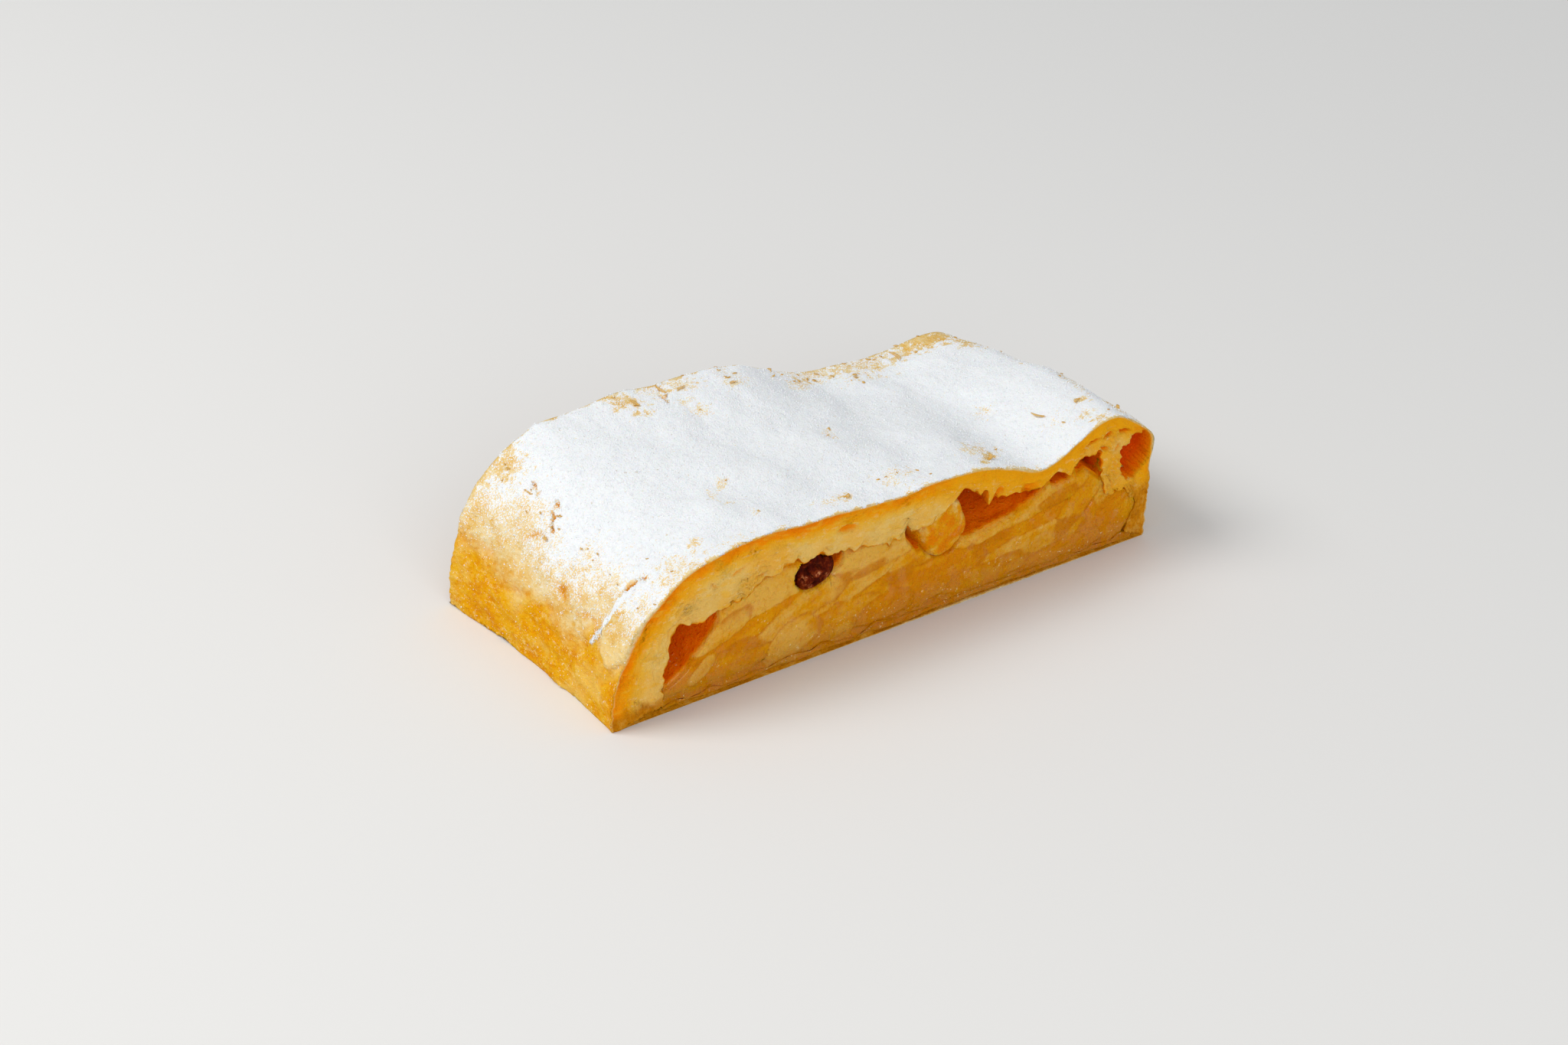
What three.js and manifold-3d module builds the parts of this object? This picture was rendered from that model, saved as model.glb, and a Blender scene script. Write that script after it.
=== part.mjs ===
// A slice of apple strudel, lying on its base. Millimetres, +Z up.
// X runs across the roll, Y along it from the front cut to the back cut.
// One sheet of dough wraps an apple filling that runs through from cut to cut. Air gaps open under
// the baked top, and a raisin and an apple wedge stand free in the filling at each cut.
import * as THREE from "three";
import { mergeVertices } from "three/addons/utils/BufferGeometryUtils.js";
import Module from "manifold-3d";

const wasm = await Module();
wasm.setup();

// ---- Driving sizes ----
const rollWidth = 140; // left flank to right flank
const sliceLength = 62; // front cut to back cut
const frontCut = -sliceLength / 2;
const backCut = sliceLength / 2;
const clearance = 0.35; // between touching pieces
const overrun = 1; // the section runs this far past each cut before it is trimmed
const sliver = 0.02; // detail finer than this is tidied away after the cuts

// Outside of the dough
const leftShoulder = 28; // how far in from the left the flank reaches the top
const rightShoulder = 13;
const shoulderPower = 2.1; // 2 is an ellipse, more is squarer
const rightUndercut = 2.5; // how far the right flank leans in at its foot
const leftHollow = 1.6; // how far the left flank bows in between the cuts
const rightBulge = 3; // how far the right flank bows out between the cuts

// Thickness of the dough
const baseThickness = 2;
const leftWall = 12.5;
const rightWall = 4.5;
const thickTop = 9.5; // over the middle of the filling, where sheets of dough lie together
const thinTop = 5; // over the right part
const foldFace = 124.5; // left face of the dough that is folded down inside the right flank
const foldFoot = 14; // height where that fold ends and the filling reaches under it
const haunchWidth = 8; // run of the curve from the left wall up to the roof of the filling
const haunchFoot = 9; // height where that curve starts
const toeHeight = 7; // the filling's right side slopes in to the base below this height

// Sampling
const stepsAlong = 12;
const topSteps = 40;
const cornerSteps = 8;

// ---- Small functions of one number ----
const bump = (x, centre, halfWidth) => Math.exp(-(((x - centre) / halfWidth) ** 2));
const rise = (x, from, to) => THREE.MathUtils.smoothstep(x, from, to);

// Height of the top over the base at each cut, before the flanks round it off.
const frontCrest = (x) => 30.5 + 2 * bump(x, 38, 14) - 6.2 * bump(x, 107, 10) + 1.2 * bump(x, 127, 7);
const backCrest = (x) => {
  const left = 35.6 + 0.8 * bump(x, 48, 12);
  return left - 8.2 * rise(x, 66, 92) - 0.9 * bump(x, 107, 14) - 1.2 * rise(x, 118, 140);
};
const crest = (x, along) => THREE.MathUtils.lerp(frontCrest(x), backCrest(x), rise(along, 0, 1));

const shoulder = (x) => {
  const left = Math.max(0, 1 - x / leftShoulder);
  const right = Math.max(0, 1 - (rollWidth - x) / rightShoulder);
  const inset = Math.max(left, right);
  return (1 - inset ** shoulderPower) ** (1 / shoulderPower);
};
const outerTop = (x) => frontCrest(x) * shoulder(x);

const topThickness = (x) => {
  const left = THREE.MathUtils.lerp(leftWall, thickTop, rise(x, 28, 40)) - 1.2 * bump(x, 49, 8);
  const whole = THREE.MathUtils.lerp(left, thinTop, rise(x, 72, 84));
  return whole - 2.2 * bump(x, 109, 6) + 1.6 * rise(x, 113, 122);
};
const hollowTop = (x) => outerTop(x) - topThickness(x);

// ---- Section outlines, drawn at the front cut: shape x is part X, shape y is part Z ----

// Points from one x to another on a height function, evenly spaced.
function alongTop(height, from, to, steps) {
  const points = [];
  for (let i = 0; i <= steps; i++) {
    const x = THREE.MathUtils.lerp(from, to, i / steps);
    points.push(new THREE.Vector2(x, height(x)));
  }
  return points;
}

// The outside, round from the left foot over the top to the right foot.
function doughOutline() {
  const left = [];
  const right = [];
  for (let i = 0; i < cornerSteps; i++) {
    const inset = 1 - Math.cos(((i / cornerSteps) * Math.PI) / 2); // points lie closer near the foot
    const leftX = leftShoulder * inset;
    const rightX = rollWidth - rightShoulder * inset;
    left.push(new THREE.Vector2(leftX, outerTop(leftX)));
    right.unshift(new THREE.Vector2(rightX, outerTop(rightX)));
  }
  return [...left, ...alongTop(outerTop, leftShoulder, rollWidth - rightShoulder, topSteps), ...right];
}

// The space for the filling. inset shrinks it on every side.
function hollowOutline(inset) {
  const left = leftWall + inset;
  const right = rollWidth - rightWall - inset;
  const fold = foldFace - inset;
  const roof = (x) => hollowTop(x) - inset;
  const roofStart = leftWall + haunchWidth;
  const haunch = new THREE.QuadraticBezierCurve(
    new THREE.Vector2(left, haunchFoot),
    new THREE.Vector2(left + 1, roof(roofStart) - 1),
    new THREE.Vector2(roofStart, roof(roofStart)),
  );
  const underFold = new THREE.QuadraticBezierCurve(
    new THREE.Vector2(fold + 1, foldFoot - inset),
    new THREE.Vector2(right, foldFoot - 1 - inset),
    new THREE.Vector2(right, toeHeight),
  );
  return [
    new THREE.Vector2(left, baseThickness + inset),
    ...haunch.getPoints(cornerSteps).slice(0, -1),
    ...alongTop(roof, roofStart, fold - 1, topSteps),
    new THREE.Vector2(fold, foldFoot + 3),
    ...underFold.getPoints(cornerSteps / 2),
    new THREE.Vector2(right - 2, baseThickness + inset),
  ];
}

// ---- Solids ----

// Runs a section past both cuts and lets it follow the crest and the flanks.
function alongRoll(outline, hole) {
  const shape = new THREE.Shape(outline);
  if (hole) shape.holes.push(new THREE.Path(hole.reverse())); // a hole runs the other way round
  const depth = sliceLength + 2 * overrun;
  const geometry = new THREE.ExtrudeGeometry(shape, { depth, steps: stepsAlong, bevelEnabled: false });
  geometry.rotateX(Math.PI / 2); // the extrusion now runs towards -Y
  geometry.translate(0, depth / 2, 0);
  const position = geometry.attributes.position;
  for (let i = 0; i < position.count; i++) {
    const x = position.getX(i);
    const z = position.getZ(i);
    const along = THREE.MathUtils.clamp((position.getY(i) - frontCut) / sliceLength, 0, 1);
    const bow = Math.sin(Math.PI * along);
    const leftShare = 1 - rise(x, 0, rollWidth / 2);
    const rightShare = rise(x, rollWidth / 2, rollWidth);
    const lean = rightUndercut * rise(x, foldFace, rollWidth) * (1 - rise(z, 0, 24));
    position.setX(i, x + bow * (leftHollow * leftShare + rightBulge * rightShare) - lean);
    position.setZ(i, (z * crest(x, along)) / crest(x, 0));
  }
  return geometry;
}

// Turns a three.js geometry into a solid that can be cut and joined.
function solid(geometry) {
  const bare = geometry.clone();
  bare.deleteAttribute("normal");
  bare.deleteAttribute("uv");
  const merged = mergeVertices(bare, 1e-3);
  const mesh = new wasm.Mesh({
    numProp: 3,
    vertProperties: merged.attributes.position.array,
    triVerts: new Uint32Array(merged.index.array),
  });
  return new wasm.Manifold(mesh);
}

function geometryOf(manifold) {
  const mesh = manifold.simplify(sliver).getMesh();
  const geometry = new THREE.BufferGeometry();
  geometry.setAttribute("position", new THREE.BufferAttribute(mesh.vertProperties, 3));
  geometry.setIndex(new THREE.BufferAttribute(mesh.triVerts, 1));
  geometry.computeVertexNormals();
  return geometry;
}

// An egg-shaped body: half sizes along X, Y, Z, a lean about Y, and its centre.
function egg({ at, half, lean = 0, grow = 0 }, rounds = 12, rings = 9) {
  const geometry = new THREE.SphereGeometry(1, rounds, rings);
  geometry.scale(half[0] + grow, half[1] + grow, half[2] + grow);
  geometry.rotateY(THREE.MathUtils.degToRad(lean));
  geometry.translate(...at);
  return solid(geometry);
}

// Air gaps between the top dough and the filling. They open at a cut and close inside, and their
// centres lie just outside the cut, so that no ring of an egg falls on its plane.
const beyondFront = frontCut - 0.7;
const beyondBack = backCut + 0.7;
const frontGaps = [
  { at: [17, beyondFront, 13.6], half: [4.2, 10, 6.5], lean: 32 },
  { at: [55.3, beyondFront, 21], half: [2.6, 6, 1.7], lean: -8 },
  { at: [74.4, beyondFront, 18.6], half: [2, 7, 3] },
  { at: [97, beyondFront, 21.4], half: [11, 12, 3.9], lean: 4 },
  { at: [117.5, beyondFront, 22.3], half: [8, 8, 2], lean: -6 },
];
const backGaps = [
  { at: [22, beyondBack, 19.5], half: [5.5, 9, 3.4], lean: -20 },
  { at: [47, beyondBack, 25.4], half: [8, 8, 2.4] },
  { at: [80, beyondBack, 20.4], half: [9.5, 10, 3], lean: 12 },
  { at: [108, beyondBack, 21.6], half: [7, 7, 2] },
];

// The pocket between the folded dough and the outer sheet, low in the right flank.
const flankPockets = [
  { at: [134.2, beyondFront, 19.6], half: [2.7, 9, 4.4], lean: -8 },
  { at: [133.6, beyondBack, 15.6], half: [2.4, 7, 3.4], lean: -8 },
];

const wedges = {
  apple_wedge_front: { at: [82.2, frontCut + 3.5, 19.6], half: [6.1, 6, 7], lean: 14 },
  apple_wedge_back: { at: [60, backCut - 3.5, 22.4], half: [7, 6, 4.4], lean: -16 },
};
const raisins = {
  raisin_front: { at: [49, frontCut + 1.3, 19.2], half: [4.3, 4, 3.5], lean: 6 },
  raisin_back: { at: [97, backCut - 1.3, 16.2], half: [4.1, 4, 3.4], lean: -12 },
};

const loosePieces = [...Object.values(wedges), ...Object.values(raisins)];
const betweenCuts = solid(new THREE.BoxGeometry(4 * rollWidth, sliceLength, rollWidth));
const fillingSpace = solid(alongRoll(hollowOutline(clearance))).intersect(betweenCuts);

function doughSolid() {
  let dough = solid(alongRoll(doughOutline(), hollowOutline(0))).intersect(betweenCuts);
  for (const pocket of flankPockets) dough = dough.subtract(egg(pocket));
  return dough;
}

function fillingSolid() {
  let filling = fillingSpace;
  for (const gap of [...frontGaps, ...backGaps]) filling = filling.subtract(egg(gap));
  for (const piece of loosePieces) filling = filling.subtract(egg({ ...piece, grow: clearance }));
  return filling;
}

// ---- Materials ----
const finish = (color, roughness) => new THREE.MeshStandardMaterial({ color, roughness, metalness: 0 });
const bakedDough = finish(0xe0a044, 0.75);
const cookedApple = finish(0xcf9f45, 0.4);
const softWedge = finish(0xdcab3c, 0.35);
const driedGrape = finish(0x4a1c12, 0.45);

// ---- The slice ----
const slice = new THREE.Group();

function addPiece(name, manifold, material) {
  const mesh = new THREE.Mesh(geometryOf(manifold), material);
  mesh.name = name;
  slice.add(mesh);
}

addPiece("dough_wrap", doughSolid(), bakedDough);
addPiece("apple_filling", fillingSolid(), cookedApple);
for (const [name, wedge] of Object.entries(wedges)) {
  addPiece(name, egg(wedge).intersect(fillingSpace), softWedge);
}
for (const [name, raisin] of Object.entries(raisins)) {
  addPiece(name, egg(raisin, 16, 11).intersect(fillingSpace), driedGrape);
}

// The origin is at the middle of the base.
const bounds = new THREE.Box3().setFromObject(slice);
const middle = bounds.getCenter(new THREE.Vector3());
slice.position.set(-middle.x, -middle.y, -bounds.min.z);

export default slice;
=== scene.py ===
# Slice of apple strudel: sugared crust, layered dough at the cuts, apple slices, wedges and raisins.
# Sizes are millimetres until a mesh is placed: x from the left foot of the roll, z up from its base.
import math
import random

import bmesh
import bpy
import numpy as np
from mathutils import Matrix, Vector, noise


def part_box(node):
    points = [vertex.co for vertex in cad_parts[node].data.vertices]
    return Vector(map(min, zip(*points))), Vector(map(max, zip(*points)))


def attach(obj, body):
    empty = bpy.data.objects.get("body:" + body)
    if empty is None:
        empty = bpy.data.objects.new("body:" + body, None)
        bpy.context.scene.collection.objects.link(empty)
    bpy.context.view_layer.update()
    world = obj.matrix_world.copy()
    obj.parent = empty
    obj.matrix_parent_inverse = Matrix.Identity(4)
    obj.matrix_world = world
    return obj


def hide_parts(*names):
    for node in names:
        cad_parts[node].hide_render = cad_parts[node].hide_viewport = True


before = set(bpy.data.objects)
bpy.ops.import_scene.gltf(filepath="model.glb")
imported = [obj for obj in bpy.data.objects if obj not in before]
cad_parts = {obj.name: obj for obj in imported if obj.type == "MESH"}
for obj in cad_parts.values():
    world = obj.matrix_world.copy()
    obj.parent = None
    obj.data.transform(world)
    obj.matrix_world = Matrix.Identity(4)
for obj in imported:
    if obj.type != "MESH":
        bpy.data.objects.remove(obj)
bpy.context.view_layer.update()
wrapLow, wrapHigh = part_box("dough_wrap")
front = wrapLow[1] * 1000  # y of the two cuts
back = wrapHigh[1] * 1000
cutY = {-1: front, 1: back}
sliceLength = back - front
middle = (front + back) / 2


def place(x, y, z):
    # from the roll's own millimetres to the frame's metres
    return Vector((wrapLow[0] + x / 1000, y / 1000, wrapLow[2] + z / 1000))


def nodeBox(node):
    # centre and half size in mm
    low, high = [np.array(corner) * 1000 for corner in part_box(node)]
    return (low + high) / 2, (high - low) / 2


# Numbers.

def bump(x, centre, half):
    return np.exp(-(((x - centre) / half) ** 2))


def rise(x, start, end):
    t = np.clip((x - start) / (end - start), 0, 1)
    return t * t * (3 - 2 * t)


def ripple(points, size, seed=0):
    # Perlin noise for an array of points; size is how wide its lumps are, in mm
    grid = np.asarray(points, dtype=float)
    flat = (grid / np.asarray(size)).reshape(-1, 3) + np.array((seed * 17.3, seed * 5.1, seed * 9.7))
    return 2 * np.array([noise.noise(p) for p in flat.tolist()]).reshape(grid.shape[:-1])


def evenly(line, count):
    # points evenly spaced along a line of points, the last one left out
    run = np.concatenate(([0], np.cumsum(np.linalg.norm(np.diff(line, axis=0), axis=1))))
    at = np.arange(count) / count * run[-1]
    return np.stack([np.interp(at, run, line[:, k]) for k in range(line.shape[1])], axis=1)


def turned(u, v, degrees):
    # the same point along axes that are turned by an angle
    c, s = math.cos(math.radians(degrees)), math.sin(math.radians(degrees))
    return u * c + v * s, v * c - u * s


def arch(a, b, c, steps):
    # quadratic curve from a to c, pulled towards b
    t = np.linspace(0, 1, steps)[:, None]
    return (1 - t) ** 2 * np.array(a) + 2 * t * (1 - t) * np.array(b) + t ** 2 * np.array(c)


def pathDistance(x, y, path):
    # distance from every point to a line of points
    nearest = np.full(np.shape(x), 1e9)
    for (ax, ay), (bx, by) in zip(path[:-1], path[1:]):
        dx, dy = bx - ax, by - ay
        t = np.clip(((x - ax) * dx + (y - ay) * dy) / (dx * dx + dy * dy + 1e-9), 0, 1)
        nearest = np.minimum(nearest, np.hypot(x - ax - t * dx, y - ay - t * dy))
    return nearest


# Meshes.

def addObject(name, data):
    made = bpy.data.objects.new(name, data)
    bpy.context.scene.collection.objects.link(made)
    return made


def addMesh(mesh, name, paint):
    data = bpy.data.meshes.new(name)
    mesh.to_mesh(data)
    mesh.free()
    data.materials.append(paint.material)
    return addObject(name, data)


def makePiece(mesh, name, paint, slot, *nodes):
    for face in mesh.faces:
        face.smooth = True
    piece = addMesh(mesh, name, paint)
    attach(piece, "root")
    if nodes:
        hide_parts(*nodes)
    print(name, len(piece.data.polygons), "faces")


def closedGrid(places, layers):
    # a grid that closes both ways: places[column, row] in mm, layers are values at the same points
    columns, rows = places.shape[:2]
    mesh = bmesh.new()
    bmesh.ops.create_grid(mesh, x_segments=columns, y_segments=rows, size=0.5)
    handles = {name: mesh.verts.layers.float.new(name) for name in layers}
    for vert in mesh.verts:
        column = round((vert.co.x + 0.5) * columns) % columns
        row = round((vert.co.y + 0.5) * rows) % rows
        vert.co = place(*places[column, row])
        for name, handle in handles.items():
            vert[handle] = float(layers[name][column, row])
    bmesh.ops.remove_doubles(mesh, verts=mesh.verts, dist=1e-6)
    bmesh.ops.recalc_face_normals(mesh, faces=mesh.faces)
    return mesh


# Shader nodes.

class Wire:
    # a node's output that can be used in sums
    def __init__(self, paint, socket):
        self.paint = paint
        self.socket = socket

    def sum(self, operation, a, b):
        return self.paint.node("ShaderNodeMath", {"operation": operation}, {0: a, 1: b})

    def __add__(self, other):
        return self.sum("ADD", self, other)

    def __sub__(self, other):
        return self.sum("SUBTRACT", self, other)

    def __rsub__(self, other):
        return self.sum("SUBTRACT", other, self)

    def __mul__(self, other):
        return self.sum("MULTIPLY", self, other)

    def __truediv__(self, other):
        return self.sum("DIVIDE", self, other)

    __radd__ = __add__
    __rmul__ = __mul__


class Paint:
    def __init__(self, name):
        self.material = bpy.data.materials.new(name)
        self.material.use_nodes = True
        self.tree = self.material.node_tree
        self.tree.nodes.clear()
        self.spot = self.node("ShaderNodeTexCoord", output="Object")

    def node(self, kind, settings=None, inputs=None, output=0):
        made = self.tree.nodes.new(kind)
        for key, value in (settings or {}).items():
            if key == "stops":
                self.setStops(made.color_ramp, value)
            else:
                setattr(made, key, value)
        for key, value in (inputs or {}).items():
            if isinstance(value, Wire):
                self.tree.links.new(value.socket, made.inputs[key])
            else:
                made.inputs[key].default_value = value
        return Wire(self, made.outputs[output]) if made.outputs else None

    def setStops(self, ramp, stops):
        while len(ramp.elements) < len(stops):
            ramp.elements.new(1)
        for element, (position, colour) in zip(ramp.elements, stops):
            element.position = position
            element.color = (*colour, 1)

    def layer(self, name):
        return self.node("ShaderNodeAttribute", {"attribute_name": name}, output="Fac")

    def lumps(self, size, detail=2.0, rough=0.5, stretch=(1, 1, 1)):
        # noise from 0 to 1, with lumps about size mm wide
        scaled = self.node("ShaderNodeMapping", None, {"Vector": self.spot, "Scale": stretch})
        inputs = {"Vector": scaled, "Scale": 1000 / size, "Detail": detail, "Roughness": rough}
        return self.node("ShaderNodeTexNoise", None, inputs)

    def height(self):
        # mm above the base
        return self.node("ShaderNodeSeparateXYZ", None, {"Vector": self.spot}, output="Z") * 1000

    def between(self, value, low, high):
        # 0 below low, 1 above high, smooth between
        inputs = {"Value": value, "From Min": low, "From Max": high}
        return self.node("ShaderNodeMapRange", {"interpolation_type": "SMOOTHSTEP"}, inputs)

    def blend(self, factor, a, b):
        colours = [c if isinstance(c, Wire) else (*c, 1) for c in (a, b)]
        inputs = {0: factor, 6: colours[0], 7: colours[1]}
        return self.node("ShaderNodeMix", {"data_type": "RGBA"}, inputs, output=2)

    def shades(self, value, stops):
        return self.node("ShaderNodeValToRGB", {"stops": stops}, {"Fac": value})

    def relief(self, height, depth, under=None):
        # depth is in mm
        inputs = {"Height": height, "Distance": depth / 1000, "Strength": 1.0}
        if under:
            inputs["Normal"] = under
        return self.node("ShaderNodeBump", None, inputs)

    def surface(self, **values):
        inputs = {key.replace("_", " "): value for key, value in values.items()}
        shader = self.node("ShaderNodeBsdfPrincipled", None, inputs)
        self.node("ShaderNodeOutputMaterial", None, {"Surface": shader})


# Camera, light and floor.

view = dict(lens=80, azimuth=-35.83, elevation=28.8, distance=0.726, target=(-0.0091, -0.0034, 0.015))


def addAimed(name, data, spot, backward):
    # a camera or a lamp that looks along -backward
    made = addObject(name, data)
    made.location = spot
    made.rotation_mode = "QUATERNION"
    made.rotation_quaternion = (-backward).to_track_quat("-Z", "Y")
    return made


def makeCamera():
    turn = math.radians(view["azimuth"])
    climb = math.radians(view["elevation"])
    level = math.cos(climb)
    backward = Vector((math.sin(turn) * level, -math.cos(turn) * level, math.sin(climb)))
    data = bpy.data.cameras.new("camera")
    data.lens = view["lens"]
    data.clip_start = 0.05
    spot = Vector(view["target"]) + backward * view["distance"]
    bpy.context.scene.camera = addAimed("camera", data, spot, backward)


def makeLamp(name, spot, size, watts, colour):
    data = bpy.data.lights.new(name, "AREA")
    data.size = size
    data.energy = watts
    data.color = colour
    addAimed(name, data, spot, Vector(spot))


def makeStudio():
    world = bpy.data.worlds.new("studio")
    world.use_nodes = True
    sky = world.node_tree.nodes["Background"]
    sky.inputs["Color"].default_value = (0.93, 0.96, 1.0, 1)
    sky.inputs["Strength"].default_value = 0.5
    bpy.context.scene.world = world
    makeLamp("windowLeft", (-0.75, 0.45, 0.95), 0.7, 9.2, (1.0, 0.985, 0.96))
    makeLamp("windowFront", (-0.35, -1.0, 0.55), 0.8, 4.4, (1.0, 0.98, 0.95))
    bpy.context.scene.view_settings.view_transform = "Standard"
    bpy.context.scene.view_settings.look = "None"

    mesh = bmesh.new()
    bmesh.ops.create_grid(mesh, x_segments=1, y_segments=1, size=3)
    paint = Paint("paleFloor")
    paint.surface(Base_Color=(0.80, 0.79, 0.77, 1), Roughness=0.75)
    floor = addMesh(mesh, "floor", paint)


makeCamera()
makeStudio()
print("studio ready")


# The roll: outlines of the dough and of the space for the filling.

roll = dict(width=140, leftShoulder=28, rightShoulder=13, squareness=2.1, undercut=2.5,
            leftHollow=1.6, rightBulge=3, baseThickness=2, leftWall=12.5, rightWall=4.5,
            thickTop=9.5, thinTop=5, foldFace=124.5, foldFoot=14, haunch=8, haunchFoot=9, toe=7,
            shoulderJut=3.4, backJut=1.6, footTuck=0.8)


def frontCrest(x):
    return 30.5 + 2 * bump(x, 38, 14) - 6.2 * bump(x, 107, 10) + 1.2 * bump(x, 127, 7)


def backCrest(x):
    left = 35.6 + 0.8 * bump(x, 48, 12)
    return left - 8.2 * rise(x, 66, 92) - 0.9 * bump(x, 107, 14) - 1.2 * rise(x, 118, 140)


def outerTop(x):
    left = np.maximum(0, 1 - x / roll["leftShoulder"])
    right = np.maximum(0, 1 - (roll["width"] - x) / roll["rightShoulder"])
    inset = np.clip(np.maximum(left, right), 0, 1)
    return frontCrest(x) * (1 - inset ** roll["squareness"]) ** (1 / roll["squareness"])


def roofTop(x):
    # top of the hollow under the baked dough
    left = roll["leftWall"] + (roll["thickTop"] - roll["leftWall"]) * rise(x, 28, 40)
    left = left - 1.2 * bump(x, 49, 8)
    whole = left + (roll["thinTop"] - left) * rise(x, 72, 84)
    return outerTop(x) - whole + 2.2 * bump(x, 109, 6) - 1.6 * rise(x, 113, 122)


def warp(x, y, z):
    # the section follows the crest and the flanks from the front cut to the back cut
    along = np.clip((y - front) / sliceLength, 0, 1)
    bow = np.sin(math.pi * along)
    leftShare = 1 - rise(x, 0, roll["width"] / 2)
    rightShare = rise(x, roll["width"] / 2, roll["width"])
    lean = roll["undercut"] * rise(x, roll["foldFace"], roll["width"]) * (1 - rise(z, 0, 24))
    shoulder = roll["shoulderJut"] * bump(z, 24.5, 4.5) - roll["footTuck"] * (1 - rise(z, 6, 13))
    jut = rise(x, 128, 138) * (shoulder + roll["backJut"] * rise(along, 0.4, 1))
    crest = frontCrest(x) + (backCrest(x) - frontCrest(x)) * rise(along, 0, 1)
    return (x + bow * (roll["leftHollow"] * leftShare + roll["rightBulge"] * rightShare) - lean + jut,
            z * crest / frontCrest(x))


def outerLine():
    # stretches of the outside: left flank, top, right shoulder, right flank, base
    turn = np.linspace(0, math.pi / 2, 80)
    left = roll["leftShoulder"] * (1 - np.cos(turn))
    right = roll["width"] - roll["rightShoulder"] * (1 - np.cos(turn[::-1]))
    x = np.concatenate((left, np.linspace(left[-1], right[0], 300)[1:-1], right))
    line = np.stack((x, outerTop(x)), axis=1)
    start = roll["leftWall"] + roll["haunch"]
    stops = [0, start, roll["foldFace"] - 1, roll["width"] - 2, roll["width"]]
    pieces = []
    for low, high in zip(stops[:-1], stops[1:]):
        inside = line[(line[:, 0] > low) & (line[:, 0] < high)]
        ends = np.array([[low, float(outerTop(low))], [high, float(outerTop(high))]])
        pieces.append(np.concatenate((ends[:1], inside, ends[1:])))
    pieces.append(np.array([[roll["width"], 0], [0, 0]]))
    return pieces


def hollowLine(inset=0):
    # the same stretches round the space for the filling
    left = roll["leftWall"] + inset
    right = roll["width"] - roll["rightWall"] - inset
    fold = roll["foldFace"] - inset
    start = roll["leftWall"] + roll["haunch"]
    roof = float(roofTop(start)) - inset
    base = roll["baseThickness"] + inset
    wall = np.array([[left, base]])
    haunch = arch((left, roll["haunchFoot"]), (left + 1, roof - 1), (start, roof), 24)
    x = np.linspace(start, fold - 1, 200)
    top = np.stack((x, roofTop(x) - inset), axis=1)
    foldSide = np.array([top[-1], [fold, roll["foldFoot"] + 3]])
    foot = roll["foldFoot"] - inset
    under = arch((fold + 1, foot), (right, foot - 1), (right, roll["toe"]), 20)
    flank = np.concatenate((foldSide[1:], under, [[right - 2, base]]))
    floor = np.array([[right - 2, base], [left, base]])
    return [np.concatenate((wall, haunch)), top, foldSide, flank, floor]


roofLine = np.concatenate(hollowLine(-0.6)[:4])


def fillTop(x):
    # highest the filling reaches at x, a little inside the dough, with no gap over it
    return np.interp(x, roofLine[1:-1, 0], roofLine[1:-1, 1])


# Air gaps under the dough at each cut: x, and how high the filling still reaches there.
gapFloors = {
    -1: [(11.2, 40), (11.6, 5.2), (13.6, 5.4), (15.6, 6.4), (18.2, 7.9), (20.8, 10.8), (24.2, 14.4),
         (26.2, 16.8), (27.2, 40), (52.4, 40), (53.2, 19.4), (54.2, 18.2), (56.0, 18.9), (57.6, 21.4),
         (58.4, 40), (71.4, 40), (72.2, 20.0), (73.8, 18.0), (75.6, 15.8), (79.0, 16.6), (84.0, 16.2),
         (88.0, 15.2), (95.0, 15.4), (100.0, 16.5), (104.0, 17.4), (107.4, 19.0), (109.0, 20.0),
         (109.8, 30), (110.6, 19.8), (112.6, 19.2), (115.6, 19.8), (116.4, 30), (117.2, 20.8),
         (120.2, 21.0), (122.4, 19.2), (124.2, 17.6), (124.6, 40)],
    1: [(13.0, 30), (14.2, 11.0), (18.0, 12.0), (23.0, 14.5), (26.0, 20.5), (27.5, 30), (36.0, 30),
        (38.5, 21.8), (42.0, 19.4), (47.0, 18.6), (51.0, 20.2), (54.0, 22.6), (56.0, 30), (66.0, 30),
        (68.4, 21.6), (72.0, 18.4), (77.0, 16.8), (82.0, 17.4), (86.0, 19.6), (89.0, 23.0), (91.0, 30),
        (98.0, 30), (100.5, 20.6), (104.0, 18.4), (109.0, 17.8), (113.0, 19.6), (116.0, 21.8),
        (117.0, 30)],
}
gapShape = dict(reach=3.5, reachPerDrop=1.1)  # how far each gap runs into the roll


def gapDrop(x, y):
    # how far the filling has sunk away from the dough
    deepest = 0 * (x + y)
    for side, inward in ((-1, y - front), (1, back - y)):
        level = np.interp(x, *np.array(gapFloors[side]).T)
        drop = np.clip(fillTop(x) - level, 0, None)
        reach = gapShape["reach"] + gapShape["reachPerDrop"] * drop
        rounded = np.sqrt(np.clip(1 - (np.maximum(inward, 0) / reach) ** 2, 0, 1))
        deepest = np.maximum(deepest, drop * rounded)
    return deepest


# The dough wrap.

wrap = dict(
    columns=(96, 210, 34, 50, 44), skinRows=104, cutRows=30, innerRows=26,
    swell=0.5, wrinkle=0.29, blister=0.24, sugarLift=0.25,
    crackDeep=0.6, creaseDeep=0.5, flapLift=0.9, lipLift=0.55, tearDeep=0.5,
    sheet=1.15, sheetLift=0.2, crumb=0.1, baseSunk=0.8, goldTop=9, tanFrom=18,
)
sugarReach = dict(leftStart=11.5, leftFull=37, leftDip=8, rightStart=1.5, rightFull=10)
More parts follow.
